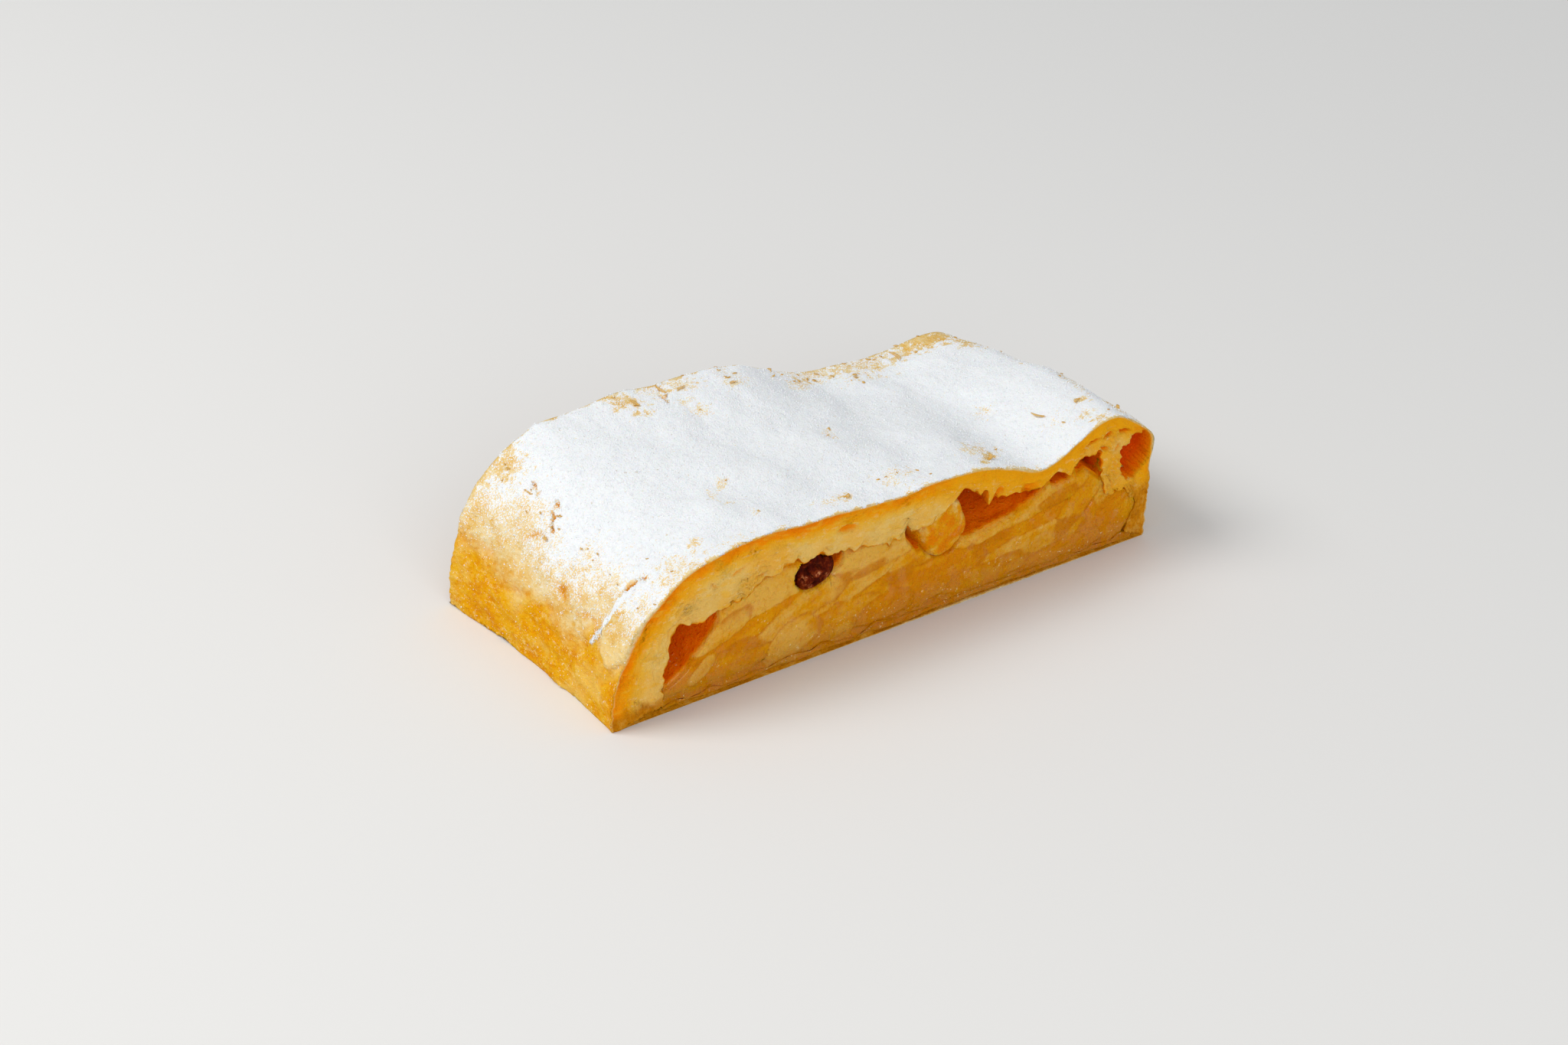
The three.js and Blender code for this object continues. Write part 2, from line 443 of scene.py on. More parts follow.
# Bare or thin places in the sugar on top: x, y, half sizes, turn in degrees, how bare.
barePatches = [
    (40.5, -10.0, 2.6, 1.4, 40, 0.55), (36.0, -13.0, 1.3, 2.6, -20, 0.50),
    (37.5, -16.8, 1.8, 0.9, 0, 0.45), (40.2, -22.0, 1.0, 2.2, 0, 0.35), (24.5, -24.0, 1.7, 1.4, 0, 0.75),
    (18.0, -27.0, 5.5, 5.0, 20, 0.55), (30.0, -28.5, 6.0, 2.0, 0, 0.30),
    (60.4, -25.6, 1.1, 2.6, -35, 0.95), (57.0, -25.6, 3.6, 1.8, 0, 0.50),
    (75.0, -24.5, 5.0, 4.0, 0, 0.42), (73.0, -3.0, 1.8, 3.4, -10, 0.45),
    (111.0, -4.2, 2.6, 2.2, 0, 0.45), (97.6, -21.0, 5.2, 3.4, 42, 0.62),
    (98.6, -24.0, 6.0, 1.3, 42, 0.95), (103.0, -30.2, 5.0, 1.5, 0, 0.85),
    (126.0, -19.8, 2.2, 1.2, 20, 0.75), (123.5, -25.5, 1.8, 2.0, 0, 0.65),
    (124.8, -29.2, 2.0, 1.3, 0, 0.8), (66.0, 22.0, 2.0, 1.4, 0, 0.6), (68.0, 25.0, 3.6, 5.0, 0, 0.38),
    (54.2, 16.0, 1.8, 2.4, 0, 0.55), (53.0, 20.6, 2.4, 1.4, 0, 0.55), (56.5, 27.0, 4.0, 3.8, 0, 0.68),
    (50.0, 27.5, 3.6, 4.0, 0, 0.45), (42.0, 27.0, 3.2, 5.6, 0, 0.80), (43.0, 20.6, 2.4, 1.3, 0, 0.62),
    (84.5, 22.5, 5.0, 2.4, 35, 0.55), (92.0, 28.5, 10.0, 3.6, 0, 0.62), (104.0, 27.5, 9.0, 4.6, 0, 0.66),
    (100.0, 21.0, 6.5, 1.5, 0, 0.35), (136.5, -29.0, 3.4, 3.0, 0, 0.95),
    (123.0, 29.0, 11.5, 5.6, -6, 0.97), (128.6, 22.0, 4.6, 4.2, 0, 0.78),
    (130.5, -9.0, 1.7, 12.0, -14, 0.50), (134.0, -14.0, 1.6, 12.0, -10, 0.60),
    (132.0, 8.0, 3.0, 7.0, -15, 0.45), (118.0, -23.0, 4.0, 4.0, 0, 0.25),
]
# The same on the left flank, as the way up the crust from the foot, and y.
flankPatches = [
    (30.6, 28.0, 4.2, 5.0, 0, 0.80), (24.5, 13.0, 3.0, 5.0, 0, 0.30), (20.8, -23.8, 1.6, 2.8, -8, 0.95),
    (16.8, -26.5, 1.8, 4.0, 0, 0.80), (26.5, -21.2, 3.0, 1.0, 8, 0.90), (24.6, -16.5, 4.4, 3.2, 0, 0.35),
    (25.0, -9.0, 2.0, 2.6, 0, 0.35),
]
# Cracks on the flank, with how deep each is: points are the way up the crust, and y.
flankCracks = [
    ([(30.3, 18.3), (29.8, 16.6), (29.2, 14.8)], 1.0),
    ([(29.7, 9.4), (28.4, 8.2), (26.4, 7.2), (25.2, 5.6)], 1.0),
    ([(25.2, 5.6), (23.8, 8.2), (21.2, 10.2)], 0.7), ([(18.3, -2.4), (17.8, -5.0), (16.5, -7.4)], 0.75),
    ([(10.2, 12.5), (11.8, 8.5), (12.4, 4.5)], 0.45), ([(11.0, 1.5), (13.2, -2.8)], 0.45),
    ([(16.2, -12.0), (17.7, -17.0)], 0.5), ([(15.2, 26.0), (14.2, 19.0)], 0.3),
    ([(8.5, -4.0), (9.6, -9.0)], 0.4),
]
topCracks = [([(54.6, 31.0), (51.8, 27.5), (49.6, 22.6)], 0.8), ([(98.0, -26.0), (101.5, -21.5)], 0.3)]
topCreases = [
    ([(65.4, 12.6), (67.2, 11.2), (69.6, 8.4)], 0.6), ([(66.0, 2.0), (70.0, 5.0), (76.0, 4.0)], 0.25),
]
# The torn skin near the front of the left flank: the lifted part, its sugared lip, the tear above it.
flap = [(30, -23.4), (24, -22.2), (20, -21.5), (17, -20.9), (14.6, -22.4), (12.9, -24.6), (12.5, -26.6),
        (13.6, -28.6), (16.0, -31.6), (30, -31.6)]
flapLip = [(29.6, -22.9), (27, -22.3), (24, -21.6), (20, -21.0), (16.6, -20.1), (13.6, -18.5)]
flapFold = [(30.6, -22.6), (28.8, -21.9), (26.8, -21.1)]
# Holes at the cut faces of the dough: side, x, z, half sizes, lean in degrees, depth.
holes = [
    (-1, 133.2, 20.2, 3.4, 5.2, 4, 8.0), (-1, 134.6, 24.2, 1.6, 1.6, 20, 4.0),
    (1, 133.6, 17.6, 2.6, 4.6, 8, 7.0), (-1, 121.6, 27.2, 1.9, 0.5, 12, 1.6),
    (-1, 125.6, 27.5, 1.2, 0.6, 10, 1.8), (-1, 130.0, 27.4, 1.5, 0.6, -12, 2.0),
    (-1, 124.6, 24.6, 1.1, 0.45, -15, 1.2), (-1, 137.2, 22.0, 0.7, 1.6, 8, 2.0),
    (-1, 57.6, 26.9, 2.7, 0.8, -4, 0.9), (-1, 97.0, 24.0, 1.3, 0.6, -8, 1.0),
    (-1, 30.5, 26.2, 2.2, 0.4, 24, 0.6), (-1, 24.6, 24.8, 1.6, 0.5, -50, 0.6),
    (-1, 41.0, 22.9, 2.2, 0.6, 20, 0.8), (-1, 105.0, 21.6, 3.0, 1.0, 10, 0.8),
    (-1, 128.4, 23.8, 1.0, 0.5, 30, 1.0), (1, 60.0, 31.0, 2.4, 0.5, -4, 1.2),
    (1, 30.0, 28.6, 2.6, 0.5, 18, 1.2), (1, 120.0, 23.6, 1.6, 0.5, 6, 1.4),
    (1, 90.0, 24.5, 2.0, 0.6, -6, 1.2),
]
# Where the torn inner edge of the dough hangs down at the front cut, or is bitten away:
# x, half width, drop.
roofTeeth = [
    (80.0, 4.2, 1.5), (94.4, 0.8, 3.4), (97.6, 2.4, 0.9), (72.4, 1.2, -1.9), (87.2, 2.6, -1.5),
    (39.6, 1.6, 0.8), (44.9, 0.8, -1.0), (115.4, 1.2, 1.5), (107.6, 1.4, 1.8), (66.5, 1.6, 0.9),
    (61.0, 1.0, -0.7), (52.6, 0.7, 0.6), (111.8, 1.6, -1.1), (119.6, 1.8, -1.0), (16.4, 2.4, -1.9),
    (70.2, 0.6, 0.9), (68.0, 0.5, 1.0), (91.6, 0.6, 1.2),
]


def insidePath(x, y, path):
    # 1 inside a closed outline, 0 outside
    inside = np.zeros(np.shape(x), dtype=bool)
    for (ax, ay), (bx, by) in zip(path, path[1:] + path[:1]):
        crosses = ((ay > y) != (by > y)) & (x < (bx - ax) * (y - ay) / (by - ay + 1e-9) + ax)
        inside ^= crosses
    return inside


def softInside(x, y, path, edge):
    # from 0 outside to 1 further than edge inside
    deep = pathDistance(x, y, path + path[:1])
    return np.where(insidePath(x, y, path), rise(deep, 0, edge), 0)


def wrapGrid():
    # outer and inner points of every column, and how deep and where every row lies
    outerPieces, innerPieces = outerLine(), hollowLine()
    outer = np.concatenate([evenly(line, n) for line, n in zip(outerPieces, wrap["columns"])])
    inner = np.concatenate([evenly(line, n) for line, n in zip(innerPieces, wrap["columns"])])
    ease = (1 - np.cos(np.linspace(0, math.pi, wrap["innerRows"] + 1))) / 2
    rows = [(0, y) for y in np.linspace(front, back, wrap["skinRows"] + 1)]
    rows += [(t, back) for t in np.linspace(0, 1, wrap["cutRows"] + 1)[1:]]
    rows += [(1, y) for y in (back - sliceLength * ease)[1:]]
    rows += [(t, front) for t in np.linspace(1, 0, wrap["cutRows"] + 1)[1:-1]]
    deep, y = np.array(rows).T
    return outer, inner, deep[None, :], y[None, :]


def outward(line):
    # unit normals of a line of points that runs clockwise
    along = np.roll(line, -1, axis=0) - np.roll(line, 1, axis=0)
    normal = np.stack((-along[:, 1], along[:, 0]), axis=1)
    return normal / (np.linalg.norm(normal, axis=1)[:, None] + 1e-9)


def thinned(cover, u, v, spot, patches):
    # takes sugar away inside each patch, with a ragged edge
    ragged = 0.45 * ripple(spot, 1.7, 60) + 0.35 * ripple(spot, 0.8, 61)
    for centreU, centreV, halfU, halfV, turn, bare in patches:
        across, down = turned(u - centreU, v - centreV, turn)
        away = np.hypot(across / halfU, down / halfV) + ragged
        cover = cover * (1 - bare * (1 - rise(away, 0.35, 1.45)))
    return cover


def sugarCover(run, x, y, up, spot):
    # 0 bare, 1 thick: sugar lies where the crust faces up, and thins out over a wide band
    full = sugarReach["leftFull"] - sugarReach["leftDip"] * bump(y, -0.5, 6) + 2.5 * ripple(spot, 6, 3)
    left = rise(run + 1.8 * ripple(spot, 2.4, 4), sugarReach["leftStart"], full)
    fromRight = roll["width"] - x + 1.5 * ripple(spot, 6, 5)
    right = rise(fromRight, sugarReach["rightStart"], sugarReach["rightFull"])
    cover = np.where(x < 70, left, right) * rise(up, -0.15, 0.4)
    atCut = np.minimum(y - front, back - y) + 0.7 * ripple(spot, 2.2, 65)
    cover = thinned(cover * rise(atCut, -0.3, 0.9), x + 0 * y, y, spot, barePatches)
    return np.where(x < 30, thinned(cover, run + 0 * y, y, spot, flankPatches), cover)


def crackDepth(u, v, spot, paths):
    # ragged and broken lines
    wander = 0.45 * ripple(spot, 1.3, 9)
    broken = 0.75 + 0.6 * ripple(spot, 1.8, 62)
    deepest = np.zeros(spot.shape[:-1])
    for path, strength in paths:
        near = 1 - rise(pathDistance(u + wander, v - wander, path), 0.12, 0.85)
        deepest = np.maximum(deepest, near * strength * np.clip(broken, 0.15, 1))
    return deepest


def wrapShape():
    outer, inner, deep, y = wrapGrid()
    run = np.concatenate(([0], np.cumsum(np.linalg.norm(np.diff(outer, axis=0), axis=1))))[:, None]
    skinCount = sum(wrap["columns"][:4])
    onBase = (np.arange(len(outer)) >= skinCount)[:, None]
    skinSide, hollowSide = outward(outer)[:, None], outward(inner)[:, None]
    section = outer[:, None] * (1 - deep[..., None]) + inner[:, None] * deep[..., None]
    thickness = np.linalg.norm(outer - inner, axis=1)[:, None]
    x, z = section[..., 0], section[..., 1]
    skinX = np.broadcast_to(outer[:, :1], x.shape)
    yy = np.broadcast_to(y, x.shape)
    spot = np.stack((np.broadcast_to(run, x.shape), yy, deep * thickness), axis=-1)
    onSkin = (deep == 0) & ~onBase
    up = np.broadcast_to(skinSide[..., 1], x.shape)
    cover = np.where(onSkin, sugarCover(spot[..., 0], skinX, yy, up, spot), 0)

    # relief of the skin
    runHere = spot[..., 0]
    flank = 1 - rise(np.minimum(run, (run[skinCount - 1] - run) * 1.35), 17, 30)
    lift = wrap["swell"] * (ripple(spot, 15, 1) + 0.5 * ripple(spot, 7.5, 2))
    lift += wrap["wrinkle"] * (0.1 + 0.9 * flank) * ripple(spot, (2.8, 5.2, 3), 6)
    lift += wrap["blister"] * (0.1 + flank) * np.abs(ripple(spot, (1.2, 1.8, 2), 7))
    lift += wrap["sugarLift"] * cover * (0.7 + 0.25 * ripple(spot, 3.2, 8) + 0.18 * ripple(spot, 1.3, 66))
    cracked = crackDepth(runHere, yy, spot, flankCracks) * (skinX < 40)
    cracked = np.maximum(cracked, crackDepth(skinX, yy, spot, topCracks))
    crease = crackDepth(skinX, yy, spot, topCreases)
    lift -= wrap["crackDeep"] * cracked + wrap["creaseDeep"] * crease
    onFlap = (skinX < 30) * onSkin
    flapRun, flapY = runHere + 0.9 * ripple(spot, 2.6, 63), yy + 0.4 * ripple(spot, 1.2, 68)
    raised = softInside(flapRun, flapY, flap, 0.6) * onFlap * (1 - rise(runHere, 21, 28.5))
    lift += wrap["flapLift"] * raised
    taper = 0.35 + 0.5 * rise(runHere, 13, 24)
    lip = 1 - rise(pathDistance(runHere, yy + 0.3 * ripple(spot, 1.4, 10), flapLip) / taper, 0.5, 1.3)
    tear = 1 - rise(pathDistance(runHere, yy, flapFold), 0.35, 1.1)
    lift += (wrap["lipLift"] * lip - wrap["tearDeep"] * tear) * onFlap
    bake = np.clip(cracked + tear * onFlap, 0, 1) * onSkin
    cover = np.maximum(cover * (1 - 0.9 * bake), 1.1 * lip * onFlap)
    tongue = raised * (1 - rise(runHere + 1.2 * ripple(spot, 2.2, 69), 15.8, 18.8))
    bake = np.maximum(bake, 0.8 * bump(runHere, 5.5, 3.0) * bump(yy, front, 1.8) * onFlap)
    cover = np.where(onSkin, np.clip(cover, 0, 1), 0)
    lift = np.where(onBase, 0, lift)

    # relief of the cut faces: sheets of dough, crumb, bubbles
    onCut = (deep > 0) & (deep < 1)
    side = np.where(y > middle, 1, -1)
    depth = deep * thickness
    flat = np.stack((x, z, yy), axis=-1)
    sheets = depth / wrap["sheet"] + 0.9 * ripple(flat, 5, 11)
    cutLift = wrap["sheetLift"] * (np.sin(2 * math.pi * sheets) * (0.5 + ripple(flat, 4, 12)))
    cutLift += wrap["crumb"] * ripple(flat, 0.9, 13) + 0.3 * ripple(flat, 3.2, 14)
    cutLift *= rise(depth, 0.2, 1.2) * rise(thickness, 2, 4)
    cutLift = cutLift - wrap["baseSunk"] * onBase * rise(deep, 0, 0.3)
    hollow = np.zeros(x.shape)
    wobble = 1 + 0.16 * ripple(flat, 1.6, 15) + 0.07 * ripple(flat, 0.7, 64)
    for holeSide, hx, hz, halfX, halfZ, lean, sunk in holes:
        u, v = turned(x - hx, z - hz, lean)
        u, v = u / halfX * wobble, v / halfZ * wobble
        inside = np.sqrt(np.clip(1 - u * u - v * v, 0, 1)) * (side == holeSide)
        hollow = np.maximum(hollow, sunk * inside)
    hollow = hollow * onCut * rise(depth, 0.2, 1.0)
    inward = np.minimum(yy - front, back - yy)
    ragged = 0.42 * ripple(flat, 1.1, 16) + 0.75 * ripple(flat, 4.5, 17)
    ragged = ragged * (0.35 + 0.65 * (1 - rise(inward, 0, 4)))
    onRoof = rise(hollowSide[..., 1], 0.1, 0.6)
    for centre, half, drop in roofTeeth:
        ragged = ragged - drop * bump(inner[:, :1], centre, half) * onRoof * bump(yy, front, 3.5)
    ragged = ragged * rise(thickness, 2.5, 5) * rise(deep, 0.45, 1)

    x = x + skinSide[..., 0] * lift * (1 - deep) ** 1.5 + hollowSide[..., 0] * ragged
    z = z + skinSide[..., 1] * lift * (1 - deep) ** 1.5 + hollowSide[..., 1] * ragged
    yOut = yy + np.where(onCut, side * (cutLift - hollow), 0)
    x, z = warp(x, yOut, z)
    z = np.maximum(z, 0)
    soak = rise(x, 74, 92) * (1 - 0.35 * rise(x, 119, 126)) + rise(x, 130, 133) * (1 - rise(z, 12, 16))
    soak = soak + 0.45 * ripple(flat, 6, 18) + 0.15
    stewed = rise(x, 129.5, 132.5) * (1 - rise(z + 1.4 * ripple(flat, 3, 70), 11, 15.5))
    stewed = np.maximum(stewed, 1 - rise(z + 0.8 * ripple(flat, 2.4, 71), 1.0, 3.4)) * (deep > 0)
    # how deep in a hole, and under the roof how far in from the cut: the paint darkens this as painted
    # shade
    inside = np.where(deep == 1, 1.0 + 0.8 * inward, hollow)
    golden = 1 - rise(runHere + 3.5 * ripple(spot, 5, 72), wrap["goldTop"], wrap["tanFrom"])
    golden = np.where(skinX < 70, golden, flank)
    layers = {
        "depth": depth * (0.72 + 0.28 * rise(x, 8, 24)), "sugar": cover, "bake": bake, "hollow": inside,
        "flank": golden * onSkin, "lip": tongue * onSkin, "soak": np.clip(soak, 0, 1), "stewed": stewed,
    }
    return np.stack((x, yOut, z), axis=-1), layers


def crustPaint():
    paint = Paint("bakedDough")
    depth, sugar, bake = paint.layer("depth"), paint.layer("sugar"), paint.layer("bake")
    hollow, flank, lip = paint.layer("hollow"), paint.layer("flank"), paint.layer("lip")
    soak, stewed = paint.layer("soak"), paint.layer("stewed")
    broad, mid = paint.lumps(8, 3, 0.5, (1, 0.6, 1)), paint.lumps(2.4, 5, 0.65, (1, 0.6, 1))
    fine, height = paint.lumps(0.7, 3, 0.6, (1, 0.6, 1)), paint.height()

    # the skin: deep gold with pale flakes and darker blisters on the flanks, tan under the sugar
    mixed = mid * 0.5 + fine * 0.28 + broad * 0.22
    gold = paint.shades(mixed, [
        (0.42, (0.75, 0.28, 0.0)), (0.49, (0.81, 0.36, 0.0)),
        (0.57, (0.84, 0.44, 0.012)), (0.65, (0.88, 0.54, 0.09))])
    flaky = paint.between(paint.lumps(1.5, 6, 0.8, (1, 0.7, 1)), 0.55, 0.60)
    gold = paint.blend(flaky * 0.5, gold, (0.90, 0.64, 0.22))
    gold = paint.blend(paint.between(broad, 0.54, 0.68) * 0.5, gold, (0.90, 0.60, 0.14))
    tan = paint.shades(mixed, [
        (0.42, (0.80, 0.46, 0.09)), (0.50, (0.83, 0.58, 0.22)), (0.58, (0.87, 0.69, 0.38))])
    skin = paint.blend(flank, tan, gold)
    skin = paint.blend(lip * 0.55, skin, (0.92, 0.68, 0.28))
    skin = paint.blend(bake, skin, (0.80, 0.30, 0.0))
    skin = paint.blend(paint.between(bake, 0.45, 0.9) * 0.5, skin, (0.56, 0.18, 0.0))
    skin = paint.blend(paint.between(sugar, 0.02, 0.6) * 0.6, skin, (0.93, 0.78, 0.50))
    specks = paint.between(paint.lumps(0.5, 2, 0.5), 0.66, 0.72)
    skin = paint.blend(specks * 0.7, skin, (0.92, 0.84, 0.68))

    # inside: orange under the skin, then cream with faint sheets, golden where it is soaked
    deepness = depth + (mid - 0.5) * 2.6 + (fine - 0.5) * 1.0 + (broad - 0.5) * 2.0
    crumb = paint.shades(deepness / 10, [
        (0.02, (0.88, 0.22, 0.0)), (0.14, (0.94, 0.27, 0.0)), (0.23, (0.92, 0.36, 0.0)),
        (0.36, (0.88, 0.49, 0.05)), (0.55, (0.86, 0.56, 0.15)), (0.9, (0.83, 0.51, 0.12))])
    sheet = paint.lumps(3.2, 4, 0.6, (1, 1, 3.0))
    crumb = paint.blend(paint.between(sheet, 0.50, 0.66) * 0.6, crumb, (0.87, 0.46, 0.03))
    crumb = paint.blend(soak * 0.85, crumb, (0.90, 0.40, 0.004))
    pale = paint.between(paint.lumps(1.8, 5, 0.7, (1, 1, 2.0)), 0.55, 0.62)
    crumb = paint.blend(pale * paint.between(depth, 1.5, 3.5) * 0.5, crumb, (0.90, 0.62, 0.24))
    # holes and the underside of the roof: baked orange, with painted shade turning them darker red the
    # deeper in they lie
    holeColourAndShade = paint.shades(hollow / 10, [
        (0.0, (0.92, 0.40, 0.004)), (0.12, (0.90, 0.24, 0.0)),
        (0.5, (0.82, 0.11, 0.0)), (1.0, (0.60, 0.055, 0.0))])
    crumb = paint.blend(paint.between(hollow, 0.1, 0.9), crumb, holeColourAndShade)
    crumb = paint.blend(1 - paint.between(height + (mid - 0.5) * 4, 1.6, 5.0), crumb, (0.56, 0.19, 0.0))
    juicy = paint.shades(mixed, [
        (0.42, (0.50, 0.16, 0.0)), (0.52, (0.64, 0.24, 0.004)), (0.62, (0.72, 0.36, 0.05))])
    crumb = paint.blend(stewed * 0.95, crumb, juicy)
    colour = paint.blend(paint.between(depth, 0.05, 0.4), skin, crumb)

    # icing sugar, speckled where it is thin
    grain = paint.lumps(0.38, 3, 0.6)
    clumps = paint.lumps(1.8, 3, 0.6)
    speckle = sugar * 1.2 + (grain - 0.5) * 3.0 + (clumps - 0.5) * 0.9
    white = paint.between(speckle, 0.38, 0.74) * paint.between(sugar, 0.01, 0.10)
    white = white * (1 - 0.6 * paint.between(paint.lumps(0.8, 3, 0.6), 0.67, 0.74))
    shade = paint.shades(paint.lumps(1.1, 5, 0.8), [
        (0.34, (0.80, 0.82, 0.84)), (0.47, (0.905, 0.925, 0.94))])
    colour = paint.blend(white, colour, shade)

    rough = white * 0.36 + paint.between(depth, 0, 0.5) * (1 - white) * 0.1 + (fine - 0.5) * 0.2 + 0.48
    softer = 1 - white * 0.5 - paint.between(depth, 0.1, 1.0) * 0.35
    bumpy = paint.relief((mid * 0.5 + fine * 0.5) * softer, 0.7)
    bumpy = paint.relief(grain, 0.28, bumpy)
    paint.surface(Base_Color=colour, Roughness=rough, Normal=bumpy, Subsurface_Weight=0.12,
                  Subsurface_Radius=(0.004, 0.002, 0.001), Subsurface_Scale=1.0, Specular_IOR_Level=0.04)
    return paint


crust = crustPaint()
wrapPlaces, wrapLayers = wrapShape()
makePiece(closedGrid(wrapPlaces, wrapLayers), "doughWrap", crust, "baked_dough", "dough_wrap")


# The filling: a core whose two cut faces are carved into soft apple slices.

core = dict(columns=400, capRows=62, roofRows=50, baseRows=4, setBack=2.4, crumple=0.45,
            bottom=0.9, lip=0.9, pocket=4.0, behind=1.6, footRecess=0.1, backSeed=23, mirrorSum=148)
# Slices cut through at the front: x, z, half length, half thickness, tilt, bend,
# tone from amber to pale, recess.
cutSlices = [
    (27.5, 13.8, 8.0, 2.7, 22, 0.1, 0.85, 0.38), (36.5, 17.8, 13.5, 3.4, 12, 0.2, 0.74, 0.46),
    (31, 10.4, 16.0, 2.6, 17, 0.1, 0.22, 0.52), (26, 5.6, 14.0, 3.9, 6, 0.1, 0.30, 0.42),
    (47, 12.4, 14.0, 3.1, 18, 0.2, 0.66, 0.36), (43.5, 6.0, 7.0, 4.4, 30, 0.3, 0.74, 0.20),
    (54, 6.2, 11.5, 3.7, 9, 0.1, 0.46, 0.32), (59, 13.2, 12.5, 2.9, 17, 0.2, 0.70, 0.44),
    (64, 18.2, 10.5, 3.8, 8, 0.2, 0.95, 0.40), (67, 10.4, 12.5, 2.8, 13, 0.2, 0.20, 0.50),
    (67, 5.6, 8.5, 2.9, 5, 0.0, 0.08, 0.28), (75, 13.8, 9.0, 3.2, 16, 0.1, 0.55, 0.48),
    (81, 8.4, 13.5, 4.7, 5, 0.2, 0.18, 0.36), (94, 12.8, 9.5, 2.4, 4, 0.1, 0.26, 0.50),
    (104, 16.6, 19.0, 2.8, 8, 0.1, 0.62, 0.26), (101, 12.0, 16.0, 2.5, 8, 0.1, 0.18, 0.46),
    (105, 7.6, 16.5, 3.5, 6, 0.1, 0.50, 0.30), (94, 4.6, 11.0, 2.9, 1, 0.0, 0.42, 0.22),
    (111, 20.6, 9.0, 2.2, 8, 0.1, 0.10, 0.60), (114, 3.8, 11.0, 2.6, 3, 0.0, 0.16, 0.24),
    (118.5, 13.4, 10.5, 3.0, 43, 0.1, 0.50, 0.28), (123, 9.2, 9.5, 2.8, 47, 0.1, 0.28, 0.44),
    (127, 15.2, 6.5, 3.6, 62, 0.1, 0.60, 0.32), (130.5, 8.4, 7.0, 6.0, 30, 0.1, 0.14, 0.20),
    (21.6, 6.4, 4.4, 1.7, 36, 0.0, 0.95, 0.26), (112.5, 16.8, 6.0, 1.6, 9, 0.2, 0.34, 0.20),
]


def placedSlices(side):
    # the back cut has the same kinds of slice in mirrored places, with other lengths and tones
    draw = random.Random(core["backSeed"])
    placed = []
    for x, z, halfLength, halfThickness, tilt, bend, tone, recess in cutSlices:
        if side > 0:
            x, tilt = core["mirrorSum"] - x + draw.uniform(-2, 2), -tilt * draw.uniform(0.7, 1.3)
            halfLength, tone = halfLength * draw.uniform(0.85, 1.15), draw.uniform(0.1, 0.95)
        placed.append((x, z, halfLength, halfThickness, tilt, bend, tone, recess))
    return placed


def clearing(x, z, side):
    # the slices lie deeper behind a raisin or a wedge that shows at the cut
    deeper = np.zeros(np.shape(x))
    end = "front" if side < 0 else "back"
    for node in ("raisin_" + end, "apple_wedge_" + end):
        spot, size = nodeBox(node)
        near = 1.3 - ((x - spot[0] + wrapLow[0] * 1000) / size[0]) ** 2 - ((z - spot[2]) / size[2]) ** 2
        deeper = np.maximum(deeper, core["pocket"] * np.sqrt(np.clip(near - 0.12, 0, 1)))
    return deeper


def slicedFace(x, z, side):
    # the cut face of the filling: depth and paleness of every point, seams and strands of the slices
    flat = np.stack((x, z, 0 * x + 40 * side), axis=-1)
    wobble = 1 + 0.12 * ripple(flat, 6, 21) + 0.07 * ripple(flat, 2.2, 22)
    depths, tones, across = [], [], []
    for sx, sz, halfLength, halfThickness, tilt, bend, tone, recess in placedSlices(side):
        u, v = turned(x - sx, z - sz, tilt)
        u = u / halfLength
        v = v / halfThickness + bend * u * u
        q = (np.abs(u) ** 2.4 + np.abs(v) ** 2.4) ** (1 / 2.4) * wobble
        depths.append(recess + 0.2 * np.minimum(q, 1) ** 8 + 1.2 * halfThickness * np.maximum(q - 1, 0))
        tones.append(tone + 0 * x)
        across.append((u * halfLength, v * halfThickness))
    depths, tones = np.array(depths + [core["behind"] + 0 * x]), np.array(tones + [0 * x])
    across = np.array(across + [(x, z)])
    weights = np.exp(-(depths - depths.min(axis=0)) / 0.06)
    weights = weights / weights.sum(axis=0)
    two = np.sort(depths, axis=0)[:2]
    seam = 1 - rise(two[1] - two[0] + 0.05 * ripple(flat, 2.5, 24), 0.0, 0.16)
    nearest = depths.argmin(axis=0)
    u, v = [np.take_along_axis(across[:, k], nearest[None], axis=0)[0] for k in (0, 1)]
    strand = ripple(np.stack((u / 7, v / 1.3, nearest * 3.7), axis=-1), 1, 25)
    return (depths * weights).sum(axis=0), (tones * weights).sum(axis=0), seam, strand


def insideGap(y, drop):
    # 0 away from the air gaps, about 0.5 on their floor at the cut, 1.8 far inside: how dark the painted
    # shade on the filling's top gets
    inward = np.minimum(y - front, back - y)
    return rise(drop, 0.5, 1.8) * (0.55 + np.clip(inward / 11, 0, 1.2))


